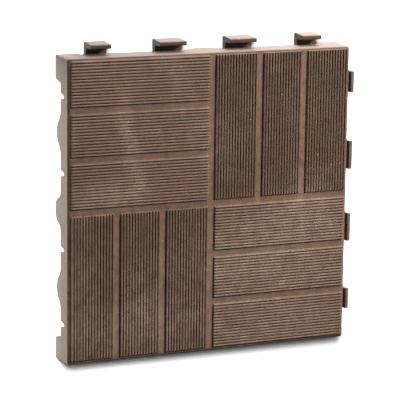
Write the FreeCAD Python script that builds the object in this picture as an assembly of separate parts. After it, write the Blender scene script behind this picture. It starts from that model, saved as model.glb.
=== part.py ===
import FreeCAD, Part
import math
import os

from FreeCAD import Vector

# One square deck tile, moulded in one piece. It lies flat as in use: feet on the ground at
# z = 0, ridged tread up, body centred on the origin. Hooks stand out of the +Y and +X sides.
# The -Y and -X sides have the arches and pockets that take a neighbour's hooks.
# All lengths are in millimetres.

# Body
tile_side = 400.0             # square body at the ledge round the slats
tile_height = 45.0            # ground to the tops of the ridges
corner_radius = 3.0           # upright corners of the body
rim_chamfer = 0.7             # round the ledge
wall_spread = 1.3             # lean of each side wall, from the ledge out to the ground
wall_at_deck = 6.0            # side wall where it meets the deck
wall_at_ground = 5.0          # side wall at its foot
deck_thickness = 8.0          # plate under the slats

# Tread: each quarter holds three slats, and neighbouring quarters turn by a right angle
slat_height = 3.0             # slats above the ledge and the channels
slat_draft = 0.4              # lean of the slat sides
hook_ledge = 3.0              # flat ledge between the slats and a side with hooks
receiving_ledge = 5.0         # the same at a side that takes a neighbour's hooks
channel_width = 9.6           # flat channels between slats and between quarters
ridge_counts = (15, 14, 15)   # ridges on the three slats, from the middle of the tile outwards
groove_width = 1.8            # groove at its mouth
groove_floor = 1.1            # groove at its floor
groove_depth = 2.0

# Hooks, at the eighths of the side
outer_hook_width = 28.5       # the two hooks next to the corners
inner_hook_width = 38.5       # the two hooks next to the middle
hook_underside = 4.4          # ground to the underside of the tongue
neck_thickness = 9.2          # tongue that leaves the wall
plate_thickness = 7.8         # upstand at the end of the tongue, at its foot
inner_lean = 0.3              # lean of its inner face, which guides the wall in
outer_lean = 1.6              # lean of its outer face, which guides it into the pocket
hook_rounding = 1.1           # lower outer edge and upper edges of the upstand
root_radius = 2.0             # between tongue and upstand
wall_clearance = 0.4          # neighbour's wall to upstand
head_clearance = 3.8          # top of the upstand to the neighbour's deck
arch_clearance = 4.7          # tongue to the top of the neighbour's arch
side_clearance = 2.5          # end of a hook to the side of the arch
plate_clearance = 2.5         # upstand to the rib behind the pocket

# Lower edge of the side walls
foot_length = 29.0            # corner feet along the wall
foot_slope = 4.0              # lean of a corner foot's end
wall_underside = 10.0         # ground to the lower edge of the walls that carry hooks
middle_foot = 8.0             # flat of the middle foot
bulge_lift = 4.5              # the bulges between arches stay this far off the ground
notch_mouth = 8.0             # relief notch in the middle of each arch
notch_width = 5.5
notch_top = 29.7              # ground to the closed end of a notch

# Underside
rib_thickness = 3.5
rib_lift = 7.0                # ground to the lower edge of the ribs, for drainage
rib_cells = 10                # cells between the outermost ribs
foot_diameter = 12.0          # round feet under crossings of the ribs
foot_rows = 5                 # rows of round feet, in each direction
weld = 1.0                    # overlap where two forms grow into each other
tiny = 1e-6                   # lengths closer than this count as equal

half_side = tile_side / 2
ledge_level = tile_height - slat_height
deck_underside = ledge_level - deck_thickness
half_ground = half_side + wall_spread
half_cavity_top = half_side - wall_at_deck
half_cavity_ground = half_ground - wall_at_ground
field_start = channel_width / 2
field_end = half_side - (hook_ledge + receiving_ledge) / 2
field_offset = (receiving_ledge - hook_ledge) / 2
neck_top = hook_underside + neck_thickness
arch_height = neck_top + arch_clearance
hook_top = deck_underside - head_clearance
plate_inner = 2 * wall_spread + wall_at_deck + wall_clearance
hook_reach = plate_inner + plate_thickness
hook_places = [(k - 1.5) * tile_side / 4 for k in range(4)]
hook_widths = [outer_hook_width, inner_hook_width, inner_hook_width, outer_hook_width]
outermost_rib = 2 * half_ground - half_side - hook_reach - plate_clearance - rib_thickness / 2
rib_pitch = 2 * outermost_rib / rib_cells
rib_lines = [k * rib_pitch - outermost_rib for k in range(rib_cells + 1)]
foot_reach = outermost_rib - rib_pitch
foot_pitch = 2 * foot_reach / (foot_rows - 1)
foot_lines = [k * foot_pitch - foot_reach for k in range(foot_rows)]


def spread_block(half_low, half_high, height):
    """Square block on the ground whose sides lean in evenly, with round upright corners."""
    block = Part.makeWedge(-half_low, 0, -half_low, -half_high, -half_high,
                           half_low, height, half_low, half_high, half_high)
    block.rotate(Vector(0, 0, 0), Vector(1, 0, 0), 90)
    upright = [edge for edge in block.Edges if edge.BoundBox.ZLength > height - tiny]
    return block.makeFillet(corner_radius, upright)


def body_shell():
    """Deck plate with four leaning side walls, open below."""
    outer = spread_block(half_ground, half_side, ledge_level)
    rim = [edge for edge in outer.Edges if edge.BoundBox.ZMin > ledge_level - tiny]
    outer = outer.makeChamfer(rim_chamfer, rim)
    return outer.cut(spread_block(half_cavity_ground, half_cavity_top, deck_underside))


def turned(shape, quarter_turns):
    """Copy of a shape, turned about the tile's axis."""
    copy = shape.copy()
    copy.rotate(Vector(0, 0, 0), Vector(0, 0, 1), 90 * quarter_turns)
    return copy


def sweep_curve(start, end):
    """Two tangent arcs between two levels, flat at both ends, in the XZ plane."""
    run = (end[0] - start[0]) / 2
    rise = (end[1] - start[1]) / 2
    radius = (run * run + rise * rise) / (2 * abs(rise))
    half_angle = math.asin(abs(run) / radius) / 2
    along = math.copysign(radius * math.sin(half_angle), run)
    up = math.copysign(radius * (1 - math.cos(half_angle)), rise)
    points = [Vector(start[0], 0, start[1]),
              Vector(start[0] + along, 0, start[1] + up),
              Vector(start[0] + run, 0, start[1] + rise),
              Vector(end[0] - along, 0, end[1] - up),
              Vector(end[0], 0, end[1])]
    return [Part.Arc(*points[:3]).toShape(), Part.Arc(*points[2:]).toShape()]


def line(start, end):
    """Straight edge in the XZ plane."""
    return Part.LineSegment(Vector(start[0], 0, start[1]), Vector(end[0], 0, end[1])).toShape()


def wall_cutter(edges):
    """Extrude a closed outline in the XZ plane through the wall on the +Y side."""
    outline = Part.Face(Part.Wire(edges))
    outline.translate(Vector(0, half_cavity_top - weld, 0))
    depth = half_ground - half_cavity_top + 2 * weld
    return outline.extrude(Vector(0, depth, 0))


def mirrored_pair(shape):
    """The shape and its mirror image across the middle of the side."""
    return [shape, shape.mirror(Vector(0, 0, 0), Vector(1, 0, 0))]


def foot_end():
    """Where a corner foot meets the ground, measured from the middle of the side."""
    return half_side - foot_length


def receiving_edge():
    """Space under half of a receiving wall: two arches and the bulge between them."""
    arch = []
    for place, width in zip(hook_places[2:], hook_widths[2:]):
        reach = width / 2 + side_clearance
        arch.append((place - reach, place + reach))
    inner, outer = arch
    bulge = (inner[1] + outer[0]) / 2
    foot = foot_end()
    start = (middle_foot / 2, 0)
    edges = sweep_curve(start, (inner[0], arch_height))
    edges.append(line((inner[0], arch_height), (inner[1], arch_height)))
    edges += sweep_curve((inner[1], arch_height), (bulge, bulge_lift))
    edges += sweep_curve((bulge, bulge_lift), (outer[0], arch_height))
    edges.append(line((outer[0], arch_height), (foot - foot_slope, arch_height)))
    edges.append(line((foot - foot_slope, arch_height), (foot, 0)))
    edges.append(line((foot, 0), (foot, -weld)))
    edges.append(line((foot, -weld), (start[0], -weld)))
    edges.append(line((start[0], -weld), start))
    return wall_cutter(edges)


def hook_side_edge():
    """Space under half of a wall that carries hooks."""
    start = (middle_foot / 2, 0)
    rise_end = hook_places[2] - inner_hook_width / 2 - side_clearance
    foot = foot_end()
    edges = sweep_curve(start, (rise_end, wall_underside))
    edges.append(line((rise_end, wall_underside), (foot - foot_slope / 2, wall_underside)))
    edges.append(line((foot - foot_slope / 2, wall_underside), (foot, 0)))
    edges.append(line((foot, 0), (foot, -weld)))
    edges.append(line((foot, -weld), (start[0], -weld)))
    edges.append(line((start[0], -weld), start))
    return wall_cutter(edges)


def relief_notch(place):
    """Tapered slot with a round end, above the middle of an arch."""
    radius = notch_width / 2
    shoulder = notch_top - radius
    low = arch_height - weld
    left = (place - radius, shoulder)
    right = (place + radius, shoulder)
    crown = Part.Arc(Vector(left[0], 0, shoulder), Vector(place, 0, notch_top), Vector(right[0], 0, shoulder))
    edges = [line((place - notch_mouth / 2, low), left),
             crown.toShape(),
             line(right, (place + notch_mouth / 2, low)),
             line((place + notch_mouth / 2, low), (place - notch_mouth / 2, low))]
    return wall_cutter(edges)


def hook(place, width):
    """One hook on the +Y side: a tongue out of the wall and an upstand parallel to it."""
    root = wall_spread - wall_at_ground
    crown_inner = plate_inner + inner_lean
    crown_outer = hook_reach - outer_lean
    section = [(root, hook_underside), (hook_reach - hook_rounding, hook_underside),
               (hook_reach, hook_underside + hook_rounding), (crown_outer, hook_top - hook_rounding),
               (crown_outer - hook_rounding, hook_top), (crown_inner + hook_rounding, hook_top),
               (crown_inner, hook_top - hook_rounding), (plate_inner, neck_top + root_radius),
               (plate_inner - root_radius, neck_top), (root, neck_top)]
    corners = [Vector(place - width / 2, half_side + y, z) for y, z in section]
    outline = Part.Face(Part.makePolygon(corners + corners[:1]))
    solid = outline.extrude(Vector(width, 0, 0))
    upright = [edge for edge in solid.Edges
               if abs(edge.BoundBox.YMax - half_side - hook_reach) < tiny
               and edge.BoundBox.XLength < tiny and edge.BoundBox.ZLength > neck_thickness]
    return solid.makeChamfer(hook_rounding / 2, upright)


def underside_ribs():
    """Grid of ribs under the deck, clear of the two pockets behind the receiving walls."""
    height = deck_underside + weld - rib_lift
    first = -outermost_rib - rib_thickness / 2
    length = half_cavity_top + weld - first
    ribs = []
    for place in rib_lines:
        rib = Part.makeBox(length, rib_thickness, height, Vector(first, place - rib_thickness / 2, rib_lift))
        ribs.append(rib)
        ribs.append(rib.mirror(Vector(0, 0, 0), Vector(1, -1, 0)))
    return ribs


def wall_gussets():
    """Short ribs that tie a receiving wall to the first rib, at the bulges and at the corner feet."""
    reach = hook_places[2] + inner_hook_width / 2 + hook_places[3] - outer_hook_width / 2
    places = (-reach / 2, 0, reach / 2)
    length = half_cavity_top + weld - outermost_rib
    height = deck_underside + weld - rib_lift
    gussets = []
    for place in places:
        gusset = Part.makeBox(length, rib_thickness, height,
                              Vector(-half_cavity_top - weld, place - rib_thickness / 2, rib_lift))
        gussets.append(gusset)
        gussets.append(gusset.mirror(Vector(0, 0, 0), Vector(1, -1, 0)))
    return gussets


def round_feet():
    """Short round feet under crossings of the ribs."""
    feet = []
    for x in foot_lines:
        for y in foot_lines:
            feet.append(Part.makeCylinder(foot_diameter / 2, rib_lift, Vector(x, y, 0)))
    return feet


def slat_spans():
    """Start and width of the three slats across a quarter, and the width of one ridge."""
    grooves = sum(count - 1 for count in ridge_counts)
    room = field_end - field_start - 2 * channel_width - grooves * groove_width
    ridge = room / sum(ridge_counts)
    spans = []
    start = field_start
    for count in ridge_counts:
        width = count * ridge + (count - 1) * groove_width
        spans.append((start, width, count))
        start += width + channel_width
    return spans, ridge


def slat(start, width, count, ridge):
    """Ridged slat whose length runs along X in the quarter where x and y are positive."""
    base = ledge_level - weld
    floor = tile_height - groove_depth
    lean = (groove_width - groove_floor) / 2
    section = [(start, ledge_level), (start + slat_draft, tile_height)]
    for k in range(count - 1):
        mouth = start + (k + 1) * ridge + k * groove_width
        section += [(mouth, tile_height), (mouth + lean, floor),
                    (mouth + groove_width - lean, floor), (mouth + groove_width, tile_height)]
    section += [(start + width - slat_draft, tile_height), (start + width, ledge_level),
                (start + width, base), (start, base)]
    corners = [Vector(field_start, y, z) for y, z in section]
    comb = Part.Face(Part.makePolygon(corners + corners[:1])).extrude(Vector(field_end - field_start, 0, 0))
    ends = [(field_start, base), (field_start, ledge_level), (field_start + slat_draft, tile_height),
            (field_end - slat_draft, tile_height), (field_end, ledge_level), (field_end, base)]
    side = [Vector(x, start - weld, z) for x, z in ends]
    trim = Part.Face(Part.makePolygon(side + side[:1])).extrude(Vector(0, width + 2 * weld, 0))
    return comb.common(trim)


def tread():
    """Slats of all four quarters: along Y in the first, and turned from quarter to quarter.

    The field sits off centre, towards the hooks, because the ledges differ.
    """
    spans, ridge = slat_spans()
    slats = []
    for start, width, count in spans:
        lying = slat(start, width, count, ridge)
        upright = lying.mirror(Vector(0, 0, 0), Vector(1, -1, 0))
        for turn in range(4):
            placed = turned(upright, turn)
            placed.translate(Vector(field_offset, field_offset, 0))
            slats.append(placed)
    return slats


def deck_tile():
    """The whole moulding."""
    cutters = []
    for half in mirrored_pair(receiving_edge()):
        cutters += [turned(half, 1), turned(half, 2)]
    for half in mirrored_pair(hook_side_edge()):
        cutters += [half, turned(half, 3)]
    for place in hook_places:
        notch = relief_notch(place)
        cutters += [turned(notch, 1), turned(notch, 2)]
    shell = body_shell().cut(cutters)
    hooks = []
    for place, width in zip(hook_places, hook_widths):
        one = hook(place, width)
        hooks += [one, turned(one, 3)]
    additions = hooks + underside_ribs() + wall_gussets() + round_feet()
    base = shell.fuse(additions).removeSplitter()
    return base.fuse(tread()).removeSplitter()


os.makedirs("parts", exist_ok=True)
tile = deck_tile()
print("solids", len(tile.Solids), "valid", tile.isValid(), "volume", round(tile.Volume / 1000), "cm3")
tile.Solids[0].exportStep("parts/deck_tile.step")
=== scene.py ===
import math

import bpy
from mathutils import Matrix, Vector


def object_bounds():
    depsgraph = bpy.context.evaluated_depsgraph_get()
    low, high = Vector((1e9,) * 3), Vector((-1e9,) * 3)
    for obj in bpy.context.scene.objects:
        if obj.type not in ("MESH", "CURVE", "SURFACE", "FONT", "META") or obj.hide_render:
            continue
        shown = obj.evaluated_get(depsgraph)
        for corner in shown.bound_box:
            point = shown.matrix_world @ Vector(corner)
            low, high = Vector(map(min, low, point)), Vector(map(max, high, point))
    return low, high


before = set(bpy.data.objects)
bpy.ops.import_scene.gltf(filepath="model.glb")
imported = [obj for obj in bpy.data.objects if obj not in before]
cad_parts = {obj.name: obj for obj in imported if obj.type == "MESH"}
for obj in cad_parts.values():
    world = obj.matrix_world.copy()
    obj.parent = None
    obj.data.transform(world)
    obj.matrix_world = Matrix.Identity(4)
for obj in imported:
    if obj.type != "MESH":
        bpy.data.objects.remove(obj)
cad_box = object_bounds()

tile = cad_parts["deck_tile"]
mm = 0.001

# Heights on the tread, down from the tops of the ridges
ridge_top = cad_box[1].z
groove_floor = ridge_top - 2.0 * mm
ledge_level = ridge_top - 3.0 * mm

# Half the side of the square body, and where the hooks' marks fade in beyond it
half_side = 200.0 * mm
hooks_from = half_side + 2.0 * mm
hooks_clear = half_side + 4.0 * mm

# Rounding of the moulded edges
edge_round = 0.42 * mm
sharp_from = math.radians(30)
weld_distance = 0.002 * mm

# Camera: where it stands, and how it is turned
camera_place = Vector((-1.1212, 0.5683, 2.54763))
camera_forward = Vector((0.395624, -0.201078, -0.89613))
camera_up = Vector((0.069754, 0.979498, -0.18899))
camera_lens = 191.805
sensor = 36.0

# Lights: direction seen from the tile, side of the square in metres, power in watts
light_distance = 3.0
key_light = ((0.8, 0.75, 1.0), 0.7, 128)
back_light = ((0.25, 1.0, 0.20), 0.8, 150)
left_light = ((-1.0, 0.1, 0.06), 1.0, 50)
floor_light = ((-0.40, 0.45, 1.0), 0.9, 216)
surround = 0.10

# Floor: its side in metres, and where it glows. Two bands from one X to another, cut to one stretch of Y
floor_size = 12.0
floor_glow = 0.9
arches_band = (-214 * mm, -176 * mm)
hooks_band = (213 * mm, 262 * mm)
tile_band = (-202 * mm, 214 * mm)

# The two ledges where a neighbour locks in, measured inwards from their edges
ledge_end = 4.2 * mm
rim_width = 2.5 * mm

# Colours, as linear light
ridge_brown = (0.160, 0.110, 0.079, 1)
# groove_brown is painted shade: the grooves are coloured darker for the shade that falls in them
groove_brown = (0.068, 0.028, 0.014, 1)
channel_brown = (0.152, 0.077, 0.048, 1)
red_brown = (0.205, 0.088, 0.055, 1)
# deep_brown darkens real stains and mottles, and also paints shade
deep_brown = (0.022, 0.013, 0.009, 1)
# Dust colour; it also paints light on the slats' faces that look along -X
dust_and_face_light = (0.290, 0.203, 0.147, 1)
# Pale dust colour; on the walls it also paints sheen
side_dust_and_sheen = (0.270, 0.225, 0.190, 1)
speck = (0.420, 0.360, 0.300, 1)
floor_white = (0.80, 0.80, 0.80, 1)

# Noise scales, in features a metre. The streaks' are along a slat, across it and down
streak_scales = (30, 420, 60)
broad_scale = 14.0
scuff_scale = 55.0
cloud_scale = 70.0
speck_scale = 90.0
mottle_scale = 120.0
grain_scale = 900.0

# How much of its colour each layer adds, from 0 to 1. A pair runs from the least to the most
red_in_channels = 0.7
red_on_slats = 0.10
# Painted shade on the turned quarters, whose ridges run along Y and catch less of the light
shade_on_turned = 0.15
mottle_shares = (0.06, 0.28)
stain_shares = (0.14, 0.24)
# Painted shade on the two ledges
ledge_shade = 0.5
# Painted shade on the hooks' crowns
crown_shade = 0.6
hook_end_darkening = 0.75
# Painted shade on the walls near the upper left corner
corner_shade = 0.64
crown_dust = 0.22
broad_dust = 0.2
scuff_dust = 0.75
# Painted light on the slats' faces that look along -X
left_face_light = 0.35
# Pale dust and painted sheen on the walls, mostly painted sheen where they look along +Y
wall_dust_and_sheen = 0.35
upper_wall_sheen = 0.70
speck_share = 0.7

# Dusty and darker patches on the tread: middle, half widths along X and Y, strength
dust_patches = [((-124, 125), (13, 42), 0.22), ((-113, 80), (13, 42), 0.22), ((-102, 35), (13, 42), 0.22),
                ((-140, 20), (60, 26), 0.25), ((-110, -160), (120, 40), 0.35),
                ((-10, -110), (60, 110), 0.15), ((-190, -110), (40, 100), 0.20),
                ((-110, -110), (90, 100), 0.12), ((-95, -130), (24, 26), 0.16),
                ((105, -75), (125, 100), 0.24), ((140, -20), (60, 36), 0.20),
                ((110, -180), (110, 40), 0.16), ((128, 120), (28, 90), 0.10)]
shade_patches = [((-200, 60), (60, 140), 0.16), ((-80, 175), (30, 50), 0.14), ((40, 170), (40, 90), 0.06),
                 ((-150, -110), (26, 46), 0.12)]


def round_edges(piece):
    """Rounds the sharp edges a little, as a mould does."""
    join = piece.modifiers.new("join", "WELD")
    join.merge_threshold = weld_distance
    bevel = piece.modifiers.new("round", "BEVEL")
    bevel.width = edge_round
    bevel.segments = 2
    bevel.limit_method = "ANGLE"
    bevel.angle_limit = sharp_from
    bevel.use_clamp_overlap = False
    bevel.loop_slide = False
    shade = piece.modifiers.new("shade", "WEIGHTED_NORMAL")
    shade.keep_sharp = False


class NodeNet:
    """Short names for building a material's node tree."""

    def __init__(self, material):
        material.use_nodes = True
        self.tree = material.node_tree
        self.tree.nodes.clear()

    def add(self, kind, inputs=None, **settings):
        node = self.tree.nodes.new(kind)
        for name, value in settings.items():
            setattr(node, name, value)
        for name, value in (inputs or {}).items():
            socket = node.inputs[name]
            if isinstance(value, bpy.types.NodeSocket):
                self.tree.links.new(value, socket)
            else:
                socket.default_value = value
        return node

    def axes(self, vector):
        """The X, Y and Z of a vector."""
        parts = self.add("ShaderNodeSeparateXYZ", {"Vector": vector}).outputs
        return parts["X"], parts["Y"], parts["Z"]

    def noise(self, place, scale, detail=4.0, roughness=0.6):
        values = {"Vector": place, "Scale": scale, "Detail": detail, "Roughness": roughness}
        return self.add("ShaderNodeTexNoise", values).outputs["Fac"]

    def remap(self, value, low, high, to_low=0.0, to_high=1.0):
        values = {"Value": value, "From Min": low, "From Max": high, "To Min": to_low, "To Max": to_high}
        return self.add("ShaderNodeMapRange", values).outputs["Result"]

    def math(self, operation, first, second=0.0):
        return self.add("ShaderNodeMath", {0: first, 1: second}, operation=operation).outputs[0]

    def times(self, first, second):
        return self.math("MULTIPLY", first, second)

    def mix(self, share, first, second):
        node = self.add("ShaderNodeMix", {0: share, 6: first, 7: second}, data_type="RGBA")
        return node.outputs[2]

    def stretched(self, place, scale):
        return self.add("ShaderNodeMapping", {"Vector": place, "Scale": scale}).outputs["Vector"]

    def band(self, value, limits, rise, fall):
        """1 between two limits, with a soft rise and fall inside them."""
        low, high = limits
        return self.times(self.remap(value, low, low + rise), self.remap(value, high, high - fall))

    def patch(self, place, middle, reach):
        """Soft oval on the tread: 1 in its middle, 0 outside it."""
        x, y = [value * mm for value in middle]
        half_x, half_y = [value * mm for value in reach]
        shift = (-x / half_x, -y / half_y, 0)
        values = {"Vector": place, "Location": shift, "Scale": (1 / half_x, 1 / half_y, 0)}
        moved = self.add("ShaderNodeMapping", values).outputs["Vector"]
        away = self.add("ShaderNodeVectorMath", {0: moved}, operation="LENGTH").outputs["Value"]
        return self.remap(away, 1.15, 0.35)

    def patches(self, place, total, ovals):
        """Sum of soft ovals, each with its own strength."""
        for middle, reach, strength in ovals:
            total = self.math("ADD", total, self.times(self.patch(place, middle, reach), strength))
        return total

    def shade(self, surface):
        """Ends the tree with one surface."""
        shader = self.add("ShaderNodeBsdfPrincipled", surface)
        self.add("ShaderNodeOutputMaterial", {"Surface": shader.outputs["BSDF"]})


class TileNet(NodeNet):
    """The tile's nodes, with the places and patterns that its layers share.

    turned is 1 on the two quarters whose slats run along Y, and 0 on the other two.
    """

    def __init__(self, material):
        super().__init__(material)
        where = self.add("ShaderNodeTexCoord")
        self.place = where.outputs["Object"]
        self.x, self.y, self.z = self.axes(self.place)
        self.facing_x, self.facing_y, self.facing_z = self.axes(where.outputs["Normal"])
        self.turned = self.math("GREATER_THAN", self.times(self.x, self.y), 0.0)

        along, across, down = streak_scales
        streaks_on_x = self.noise(self.stretched(self.place, (along, across, down)), 1.0)
        streaks_on_y = self.noise(self.stretched(self.place, (across, along, down)), 1.0)
        self.streak = self.add("ShaderNodeMix", {0: self.turned, 2: streaks_on_x, 3: streaks_on_y}).outputs[0]
        self.broad = self.noise(self.place, broad_scale, 3.0)
        self.cloud = self.noise(self.place, cloud_scale, 6.0, 0.75)
        self.mottle = self.noise(self.place, mottle_scale, 6.0, 0.7)

        self.above_ledge = self.remap(self.z, ledge_level + 0.2 * mm, groove_floor - 0.1 * mm)
        self.on_tread = self.remap(self.z, ledge_level - 0.5 * mm, ledge_level)


def clean_brown(net):
    """Mottled ridges, grooves darkened as painted shade, and redder channels; the turned quarters are
    darkened as painted shade, with their grooves lightened as painted light.
    """
    body = net.mix(net.remap(net.mottle, 0.3, 0.7), ridge_brown, channel_brown)
    channel = net.mix(net.remap(net.streak, 0.3, 0.7), channel_brown, ridge_brown)
    channel = net.mix(net.remap(net.cloud, 0.50, 0.60, 0.0, red_in_channels), channel, red_brown)
    # On the turned quarters the grooves are lightened: painted light
    lighter = net.math("ADD", net.remap(net.mottle, 0.2, 0.9), net.times(net.turned, 0.3))
    groove = net.mix(lighter, groove_brown, body)
    on_ridge = net.remap(net.z, ridge_top - 0.6 * mm, ridge_top - 0.05 * mm)
    slat = net.mix(on_ridge, groove, body)
    slat = net.mix(net.remap(net.broad, 0.54, 0.40, 0.0, red_on_slats), slat, red_brown)
    # Painted shade: the turned quarters are darkened
    slat = net.mix(net.times(net.turned, shade_on_turned), slat, deep_brown)
    return net.mix(net.above_ledge, channel, slat)


def stained(net, colour):
    """Small dark mottles, and larger stains that show most on the turned quarters."""
    colour = net.mix(net.remap(net.mottle, 0.52, 0.36, *mottle_shares), colour, deep_brown)
    stain = net.times(net.remap(net.cloud, 0.52, 0.40), net.remap(net.turned, 0.0, 1.0, *stain_shares))
    return net.mix(stain, colour, deep_brown)


def shaded_ledges(net, colour):
    """Painted shade on the two ledges where a neighbour locks in, darkest along their rims."""
    inwards = net.math("ADD", net.math("MINIMUM", net.x, net.y), half_side)
    near_rim = net.remap(inwards, rim_width, 0.7 * rim_width)
    on_ledge = net.times(net.remap(inwards, ledge_end, 0.9 * ledge_end), ledge_shade)
    above_walls = net.remap(net.z, ledge_level - 0.9 * mm, ledge_level - 0.6 * mm)
    below_slats = net.remap(net.z, ledge_level + 0.5 * mm, ledge_level + 0.1 * mm)
    ledge_painted_shade = net.times(net.math("MAXIMUM", near_rim, on_ledge), net.times(above_walls, below_slats))
    return net.mix(ledge_painted_shade, colour, deep_brown)


def shaded_crowns(net, colour):
    """Painted shade on the hooks' crowns, with some dust on the right-hand ones."""
    below_ledges = net.remap(net.z, ledge_level - 8 * mm, ledge_level - 10 * mm)
    on_crowns = net.times(net.remap(net.facing_z, 0.6, 0.9), below_ledges)
    colour = net.mix(net.times(on_crowns, crown_shade), colour, deep_brown)
    on_the_right = net.remap(net.x, hooks_from, hooks_clear, 0.0, crown_dust)
    return net.mix(net.times(on_crowns, on_the_right), colour, side_dust_and_sheen)


def dust_and_painted_light_on_tread(net, colour):
    """Dust in soft patches with thin scuffs, painted light on the slats' left faces, and a few darker
    patches.
    """
    dusty = net.times(net.remap(net.broad, 0.50, 0.72), broad_dust)
    dusty = net.patches(net.place, dusty, dust_patches)
    dusty = net.times(dusty, net.remap(net.cloud, 0.38, 0.60, 0.5, 1.4))
    dusty = net.times(dusty, net.remap(net.above_ledge, 0.0, 1.0, 0.6, 1.0))
    contour = net.math("ABSOLUTE", net.math("SUBTRACT", net.noise(net.place, scuff_scale, 3.0, 0.55), 0.5))
    scuffed = net.times(net.remap(contour, 0.020, 0.004), net.remap(dusty, 0.04, 0.30, 0.0, scuff_dust))
    dusty = net.math("MAXIMUM", dusty, scuffed)
    colour = net.mix(net.times(dusty, net.on_tread), colour, dust_and_face_light)
    # Painted light: the slats' faces that look along -X are lightened with the dust colour
    on_left_faces = net.times(net.on_tread, net.remap(net.facing_x, -0.4, -0.8, 0.0, left_face_light))
    colour = net.mix(on_left_faces, colour, dust_and_face_light)
    shaded = net.patches(net.place, 0.0, shade_patches)
    return net.mix(net.times(shaded, net.on_tread), colour, deep_brown)


def dust_and_sheen_on_walls(net, colour):
    """Pale dust and painted sheen on upright faces below the tread, mostly painted sheen and strongest where
    they look along +Y.
    """
    upright = net.remap(net.math("ABSOLUTE", net.facing_z), 0.5, 0.2)
    on_walls = net.times(upright, net.math("SUBTRACT", 1.0, net.on_tread))
    share = net.remap(net.facing_y, 0.5, 0.8, wall_dust_and_sheen, upper_wall_sheen)
    return net.mix(net.times(on_walls, share), colour, side_dust_and_sheen)


def darker_hook_ends(net, colour):
    """Darkens those faces of the hooks that look along -X."""
    on_hooks = net.remap(net.math("MAXIMUM", net.x, net.y), hooks_from, hooks_clear)
    on_ends = net.times(on_hooks, net.remap(net.facing_x, -0.3, -0.7, 0.0, hook_end_darkening))
    return net.mix(on_ends, colour, deep_brown)


def shaded_corner(net, colour):
    """Painted shade on the walls near the upper left corner, fading along the left and the upper wall."""
    upwards = net.remap(net.y, 105 * mm, 220 * mm)
    on_left = net.times(net.remap(net.facing_x, -0.3, -0.7), net.times(upwards, upwards))
    along = net.remap(net.x, 140 * mm, -half_side, 0.05, corner_shade)
    at_upper_wall = net.remap(net.y, half_side - 4 * mm, half_side - 2 * mm)
    on_upper = net.times(net.times(along, at_upper_wall), net.remap(net.facing_x, -0.7, -0.3))
    return net.mix(net.math("MAXIMUM", on_left, on_upper), colour, deep_brown)


def pale_specks(net, colour):
    """One small speck in every fifth cell or so."""
    cells = net.add("ShaderNodeTexVoronoi", {"Vector": net.place, "Scale": speck_scale})
    cell_colour = net.add("ShaderNodeSeparateColor", {"Color": cells.outputs["Color"]})
    chosen = net.remap(cell_colour.outputs[0], 0.78, 0.82)
    speckled = net.times(net.remap(cells.outputs["Distance"], 0.10, 0.05), chosen)
    return net.mix(net.times(speckled, speck_share), colour, speck)


def moulded_brown():
    """Brown moulding compound: mottled, streaked in the channels, worn and dusty on the ridges, with painted
    shade in grooves, on ledges, crowns and a corner, and painted light and sheen on some faces.
    """
    material = bpy.data.materials.new("moulded_brown")
    net = TileNet(material)
    colour = clean_brown(net)
    # Stains and dust, with painted shade and painted light among the layers
    wear_and_painted_light = [stained, shaded_ledges, shaded_crowns, dust_and_painted_light_on_tread, dust_and_sheen_on_walls, darker_hook_ends, shaded_corner]
    for layer in wear_and_painted_light + [pale_specks]:
        colour = layer(net, colour)
    rough = net.remap(net.mottle, 0.2, 0.8, 0.44, 0.62)
    grain = net.noise(net.place, grain_scale, 3.0, 0.6)
    relief = net.math("ADD", net.times(grain, 0.5), net.times(net.streak, 0.5))
    bump = net.add("ShaderNodeBump", {"Height": relief, "Strength": 0.35, "Distance": 0.15 * mm})
    bumped = bump.outputs["Normal"]
    net.shade({"Base Color": colour, "Roughness": rough, "Specular IOR Level": 0.25, "Normal": bumped})
    return material


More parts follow.
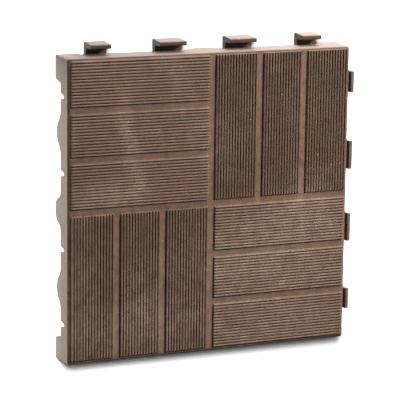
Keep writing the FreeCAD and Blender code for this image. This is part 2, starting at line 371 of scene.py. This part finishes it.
def white_floor():
    """Plain pale floor under the tile, which glows where the photo has a white backdrop beside it."""
    bpy.ops.mesh.primitive_plane_add(size=floor_size)
    floor = bpy.context.object
    floor.name = "floor"
    material = bpy.data.materials.new("floor_white")
    net = NodeNet(material)
    x, y = net.axes(net.add("ShaderNodeTexCoord").outputs["Object"])[:2]
    in_arches = net.band(x, arches_band, 8 * mm, 8 * mm)
    beside_hooks = net.band(x, hooks_band, 6 * mm, 6 * mm)
    along_tile = net.band(y, tile_band, 4 * mm, 8 * mm)
    beside_tile = net.times(net.math("MAXIMUM", in_arches, beside_hooks), along_tile)
    glow = {"Emission Color": (1, 1, 1, 1), "Emission Strength": net.times(beside_tile, floor_glow)}
    net.shade({"Base Color": floor_white, "Roughness": 0.9, **glow})
    floor.data.materials.append(material)
    return floor


def soft_light(name, direction, size, power, lit):
    """Square area light that looks at the tile from a direction and lights one object only."""
    data = bpy.data.lights.new(name, "AREA")
    data.size = size
    data.energy = power
    lamp = bpy.data.objects.new(name, data)
    lamp.location = Vector(direction).normalized() * light_distance
    lamp.rotation_euler = (-lamp.location).to_track_quat("-Z", "Y").to_euler()
    bpy.context.scene.collection.objects.link(lamp)
    receivers = bpy.data.collections.new(name + "_lights")
    receivers.objects.link(lit)
    lamp.light_linking.receiver_collection = receivers


def studio(floor):
    """White surround, a key from the upper right, low fills on the two seen walls and a floor light."""
    world = bpy.data.worlds.new("studio")
    bpy.context.scene.world = world
    world.use_nodes = True
    background = world.node_tree.nodes["Background"]
    background.inputs["Color"].default_value = (1, 1, 1, 1)
    background.inputs["Strength"].default_value = surround
    soft_light("key", *key_light, tile)
    soft_light("back", *back_light, tile)
    soft_light("left", *left_light, tile)
    soft_light("floor_light", *floor_light, floor)
    bpy.context.scene.view_settings.view_transform = "Standard"


def camera():
    """Stands over the left and upper sides and looks down on the tread."""
    data = bpy.data.cameras.new("camera")
    data.lens = camera_lens
    data.sensor_width = sensor
    view = bpy.data.objects.new("camera", data)
    right = camera_forward.cross(camera_up)
    turn = Matrix((right, camera_up, -camera_forward)).transposed()
    view.matrix_world = Matrix.Translation(camera_place) @ turn.to_4x4()
    bpy.context.scene.collection.objects.link(view)
    bpy.context.scene.camera = view


round_edges(tile)
tile.data.materials.clear()
tile.data.materials.append(moulded_brown())
studio(white_floor())
camera()
